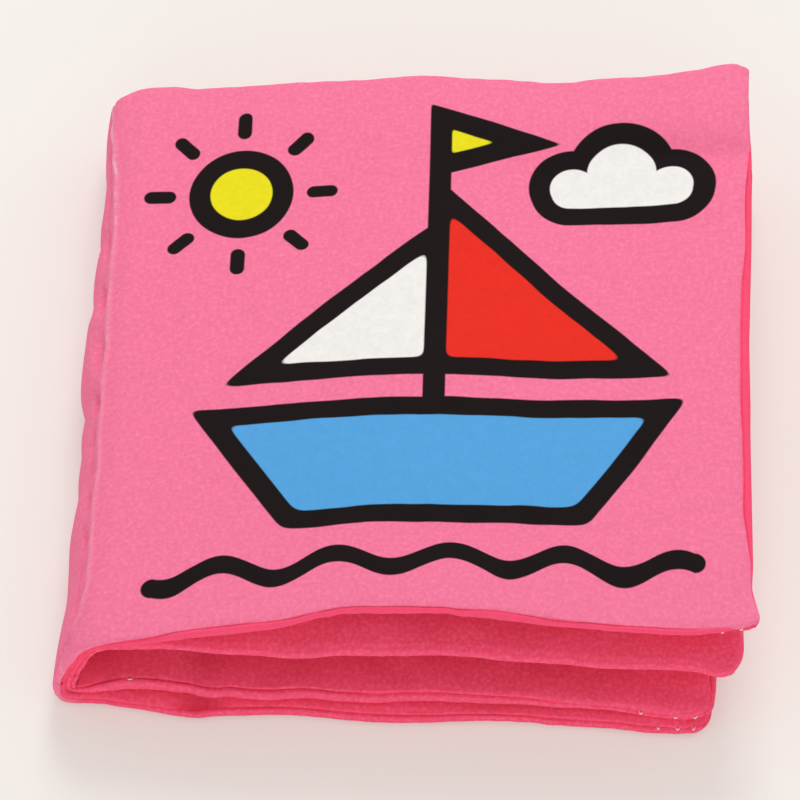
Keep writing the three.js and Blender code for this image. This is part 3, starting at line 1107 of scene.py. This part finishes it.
def crownShare(spread, reach, nearFar, fore):
    # The padding's share of its full height: less near the rims, beside the creases and in the spine
    crown = 1
    for inward in (nearFar, fore):
        crown = crown * np.sin(np.clip(inward / pad["crownBand"], 0, 1) * math.pi / 2)
    start, stop = spread["fold"]
    inFold = easeIn(reach, start, start + pad["foldEase"]) * (1 - easeIn(reach, stop - pad["foldEase"], stop))
    pressed = 0
    for place in (start, stop):
        pressed = pressed + pad["creasePress"] * np.exp(-((reach - place) / pad["creaseWidth"]) ** 2)
    return crown * (1 - np.clip(pressed, 0, 1)) * (1 - (1 - pad["foldFilling"]) * inFold)


def shapePlies(spec, wrinkles=None):
    # Both cloths of a pad on one grid: reach, place across, offset, and the flat cloth's coordinates
    low, high = spec["span"]
    rimAtHigh = high > 0
    spread = spec["spread"]
    seed = spread["seed"]
    widest = max(row[1] for row in spread["rimRadius"] if low <= row[0] <= high)
    isCover = spread is outerSpread and rimAtHigh
    alongLines, alongRing = padLines(
        low, high, not rimAtHigh, rimAtHigh, widest, pad["fineReach"] if isCover else None
    )
    acrossLines, acrossRing = padLines(0, pageHeight, True, True, widest)
    reach, across = np.meshgrid(alongLines, acrossLines, indexing="ij")
    ringA, ringB = np.meshgrid(alongRing, acrossRing, indexing="ij")
    radius = tableCurve(spread["rimRadius"], 1, reach)
    isNear = across < pageHeight / 2
    nearFar = np.minimum(across, pageHeight - across)
    fore = (high - reach) if rimAtHigh else (reach - low)
    rollA, rollB = rimRolls(spec, reach, across)
    foreLean = tableCurve(spec["fore"], 2, across)
    foreWave = tableCurve(spec["fore"], 3, across)
    farWave = tableCurve(spread["farWave"], 1, reach) * ~isNear
    farMove = farWave * np.exp(-nearFar / pad["rimWaveDecay"])
    crown = crownShare(spread, reach, nearFar, fore)
    plies = []
    for side in (1, -1):
        insetA, baseA, shareA, beyondA, leanA = ringShape(ringA, rollA, side, radius)
        insetB, baseB, shareB, beyondB, _ = ringShape(ringB, rollB, side, radius)
        weight = (1 - shareA) + (1 - shareB) + nearNought
        base = (baseA * (1 - shareA) + baseB * (1 - shareB)) / weight
        height = base + (side - base) * shareA * shareB
        r = reach + (-insetA if rimAtHigh else insetA)
        v = across + np.where(isNear, insetB, -insetB)
        leaning = foreLean * leanA * np.exp(-np.clip(fore - radius, 0, None) / pad["leanDecay"])
        outwards = foreWave * np.exp(-fore / pad["rimWaveDecay"]) - leaning
        r = r + (outwards if rimAtHigh else -outwards)
        puckers, lips = 0, 1
        for line, inward, share, step in (
            (across, fore, shareA, "forePucker"), (reach, nearFar, shareB, "sidePucker"),
        ):
            waves = alongWaves(line, pad["puckerLength"], seed + seedSteps[step] + side)
            puckers = puckers + waves * np.exp(-inward / pad["puckerDecay"])
            lips = lips * (1 - np.exp(-(inward + share) / pad["lipWidth"]))
        pucker = pad["puckerHeight"] * puckers * lips
        if wrinkles is not None:
            inwards, fromRim = (
                np.where(ring < 0, inward, radius * ring / pad["rimRings"])
                for ring, inward in ((ringA, fore), (ringB, nearFar))
            )
            place = np.where(isNear, fromRim, pageHeight - fromRim)
            along, beside, out = wrinkleMoves(wrinkles, spec, side, inwards, place)
            r = r + along * pad["wrinkleShift"]
            v = v + beside * pad["wrinkleShift"]
            pucker = pucker + out * pad["wrinkleHeight"]
        waves = ripple(reach, across, pad["billowLength"], seed + seedSteps["billow"] + side)
        billow = pad["billow"] * waves * crown
        full = spec["crown"][0 if side > 0 else 1]
        offset = radius * height + side * ((full - radius) * crown + pucker + billow)
        if spread is outerSpread and side > 0:
            offset = offset + creaseRidge(reach, across) * shareB
            offset = offset - pressedHollows(reach, across) * shareB
        for place, depth, deep, wide in spec["dents"] if side < 0 else ():
            apart = (reach - place) ** 2 + (across - depth) ** 2
            offset = offset + deep * np.exp(-apart / wide ** 2) * shareB
        r, v = roundCorner(spec, r, v, rimAtHigh)
        flatX = reach + (beyondA if rimAtHigh else -beyondA)
        flatY = across + np.where(isNear, -beyondB, beyondB)
        plies.append((r, v - farMove, offset, flatX, flatY))
    return plies, rimAtHigh


def clothPoints(spec, r, v, offset):
    # Points of one cloth: the middle surface moved along its own normal
    step = pad["normalStep"]
    dr = placePad(spec, r + step, v) - placePad(spec, r - step, v)
    dv = placePad(spec, r, v + step) - placePad(spec, r, v - step)
    normal = np.cross(dr, dv)
    normal = normal / np.linalg.norm(normal, axis=-1, keepdims=True)
    return placePad(spec, r, v) + normal * offset[..., None]


def inFrame(points):
    # From millimetres off the spine's lower crease and the near edge to the frame's metres
    return points * mm + [originX * mm, originY * mm, 0]


# Bits of white thread that show along the seams. Each is one stitch: its middle along the seam, its
# length and how far it stands out, in millimetres
stitches = {
    "radius": 0.14,
    "sunk": 0.10,
    "thinnest": 0.12,
    "tip": 0.5,
    "steps": 9,
    "sides": 8,
    "linesInside": 3,
    "rows": {
        "front_cover_pad": {"near": [(97.6, 0.8, 0.74), (101.0, 0.6, 0.64), (103.8, 0.7, 0.6)]},
        "back_cover_pad": {"near": [(-115.4, 0.5, 0.58), (-118.6, 0.8, 0.64), (-121.6, 0.6, 0.6)]},
        "third_leaf_pad": {
            "near": [(-21.4, 1.1, 0.5), (-106.8, 0.7, 0.62), (-112.4, 0.7, 0.6), (-115.8, 0.8, 0.64)],
            "fore": [(9.5, 0.9, 0.5)],
        },
    },
    "colour": (0.930, 0.760, 0.760),
    "roughness": 0.7,
    "specular": 0.2,
}


def makeThreadMaterial():
    shade = Shade(bpy.data.materials.new("white_thread"))
    shade.plug(shade.surface, {
        "Base Color": stitches["colour"],
        "Roughness": stitches["roughness"],
        "Specular IOR Level": stitches["specular"],
    })
    return shade.owner


def unit(vectors):
    return vectors / np.linalg.norm(vectors, axis=1, keepdims=True)


def threadTube(points, outward, height):
    # One stitch, up out of the cloth and back, thin at both ends
    steps, sides, thickness = stitches["steps"], stitches["sides"], stitches["radius"]
    share = np.linspace(0, 1, steps)
    swell = np.sqrt(np.clip(np.sin(math.pi * share), stitches["thinnest"], 1))
    rise = height * np.sin(math.pi * share) - stitches["sunk"]
    middle = points + outward * rise[:, None]
    along = unit(np.gradient(middle, axis=0))
    first = unit(outward - along * (outward * along).sum(1, keepdims=True))
    second = np.cross(along, first)
    turn = np.arange(sides) * math.tau / sides
    ring = first[:, None] * np.cos(turn)[:, None] + second[:, None] * np.sin(turn)[:, None]
    body = middle[:, None] + ring * (thickness * swell)[:, None, None]
    tips = along[[0, -1]] * [[-1], [1]] * thickness * stitches["tip"]
    points = np.concatenate([body.reshape(-1, 3), middle[[0, -1]] + tips])
    last = (steps - 1) * sides
    faces = []
    for j in range(sides):
        k = (j + 1) % sides
        for i in range(0, last, sides):
            faces.append([i + j, i + k, i + sides + k, i + sides + j])
        faces.append([steps * sides, k, j])
        faces.append([steps * sides + 1, last + j, last + k])
    return points, faces


def makeStitches(name, seams):
    # A seam is given as (places along the cloth, points, directions out of the seam)
    allPoints, allFaces, count = [], [], 0
    for edge, rows in stitches["rows"][name].items():
        places, line, outward = seams[edge]
        order = np.argsort(places)
        for middle, length, height in rows:
            at = middle + np.linspace(-0.5, 0.5, stitches["steps"]) * length
            points, facing = (
                np.stack([np.interp(at, places[order], values[order, i]) for i in range(3)], -1)
                for values in (line, outward)
            )
            points, faces = threadTube(points, unit(facing), height)
            allPoints.append(points)
            allFaces += [[i + count for i in face] for face in faces]
            count += len(points)
    obj = newObject(name.replace("_pad", "_seam_thread"), inFrame(np.concatenate(allPoints)), allFaces)
    shadeSmooth(obj)
    return obj


def seamLines(plies, surfaces, rimAtHigh):
    # Where the two cloths of a pad meet, along its near edge and its fore-edge, and which way is out
    # there, from the pad's middle a few grid lines inside the rim
    upper, lower = surfaces
    inner = pad["rimRings"] + stitches["linesInside"]
    near = (upper[:, inner] + lower[:, inner]) / 2
    last, inside = (-1, -1 - inner) if rimAtHigh else (0, inner)
    fore = (upper[inside] + lower[inside]) / 2
    return {
        "near": (plies[0][3][:, 0], upper[:, 0], upper[:, 0] - near),
        "fore": (plies[0][4][last], upper[last], upper[last] - fore),
    }


def layFlat(obj, name, places):
    obj.data.uv_layers.new(name=name).data.foreach_set("uv", places.ravel())


def makePad(name, spec, wrinkles):
    plies, rimAtHigh = shapePlies(spec, wrinkles)
    surfaces = [clothPoints(spec, *ply[:3]) for ply in plies]
    if spec["rides"] == "back_cover":
        # The lowest pad lies flat on the floor
        for surface in surfaces:
            surface[..., 2] = np.maximum(surface[..., 2], 0.0)
    columns, rows = plies[0][0].shape
    onSeam = np.zeros((columns, rows), bool)
    onSeam[:, 0] = onSeam[:, -1] = True
    onSeam[-1 if rimAtHigh else 0, :] = True
    upper, lower, quads = sewnCloths(onSeam)
    points = inFrame(np.concatenate([surfaces[0].reshape(-1, 3), surfaces[1][~onSeam]]))

    # Faces that close the pad where it is cut at the crease
    cut = 0 if rimAtHigh else columns - 1
    caps = []
    for j in range(rows - 1):
        face = [upper[cut, j], upper[cut, j + 1], lower[cut, j + 1], lower[cut, j]]
        face = list(dict.fromkeys(face if cut == 0 else face[::-1]))
        if len(face) > 2:
            caps.append([int(i) for i in face])
    obj = newObject(name, points, quads.tolist() + caps)

    # The flat cloth's coordinates, in metres, with the under cloth's beside the upper one's
    flat = []
    for side, ply in enumerate(plies):
        places = np.zeros((len(points), 2))
        for numbers in (upper, lower):
            places[numbers.ravel()] = np.stack(ply[3:], -1).reshape(-1, 2)
        flat.append((places + [0, side * underShift]) * mm)
    loops = np.zeros(len(obj.data.loops), int)
    obj.data.loops.foreach_get("vertex_index", loops)
    under = np.arange(len(loops)) >= quads.size // 2
    places = np.where(under[:, None], flat[1][loops], flat[0][loops])
    layFlat(obj, "cloth_metres", places)
    if name == "front_cover_pad":
        past = pastCrease(places[:, 0] / mm, places[:, 1] / mm) * mm
        layFlat(obj, "from_crease", np.stack([past, places[:, 1]], -1))

    shadeSmooth(obj)
    for face in obj.data.polygons[len(quads):]:
        face.use_smooth = False
    return obj, seamLines(plies, surfaces, rimAtHigh)


makeCamera()
makeKeyLight()
makeSky()
makeFloor()
print("camera, light and floor are set")

# The back cover and the pages take the pink painted deeper, painted shade
cloths = {
    "front_cover_pad": makeCloth("printed_cloth", cloth["pink"], "front"),
    "back_cover_pad": makeCloth("back_cloth", cloth["paintedShadePink"], "back"),
}
pageCloth = makeCloth("plain_pink_cloth", cloth["paintedShadePink"], "page")
whiteThread = makeThreadMaterial()
print("cloth is mixed")

wrinkles = simulateWrinkles()
if wrinkles is not None:
    print("page is sewn and filled, wrinkles up to", round(float(np.abs(wrinkles[..., 2]).max()), 2), "mm")

for padName, spec in pads.items():
    piece, seams = makePad(padName, spec, wrinkles)
    piece.data.materials.append(cloths.get(padName, pageCloth))
    first, last = spec["bend"]
    start = ((originX + first[0]) * mm, 0, first[1] * mm)
    end = ((originX + last[0]) * mm, 0, last[1] * mm)
    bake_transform(piece)
    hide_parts(*spec["nodes"])
    if padName in stitches["rows"]:
        bits = makeStitches(padName, seams)
        bits.data.materials.append(whiteThread)
        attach(bits, spec["rides"])
    print(padName, "is made,", len(piece.data.polygons), "faces")

bpy.context.scene.view_settings.view_transform = "Standard"
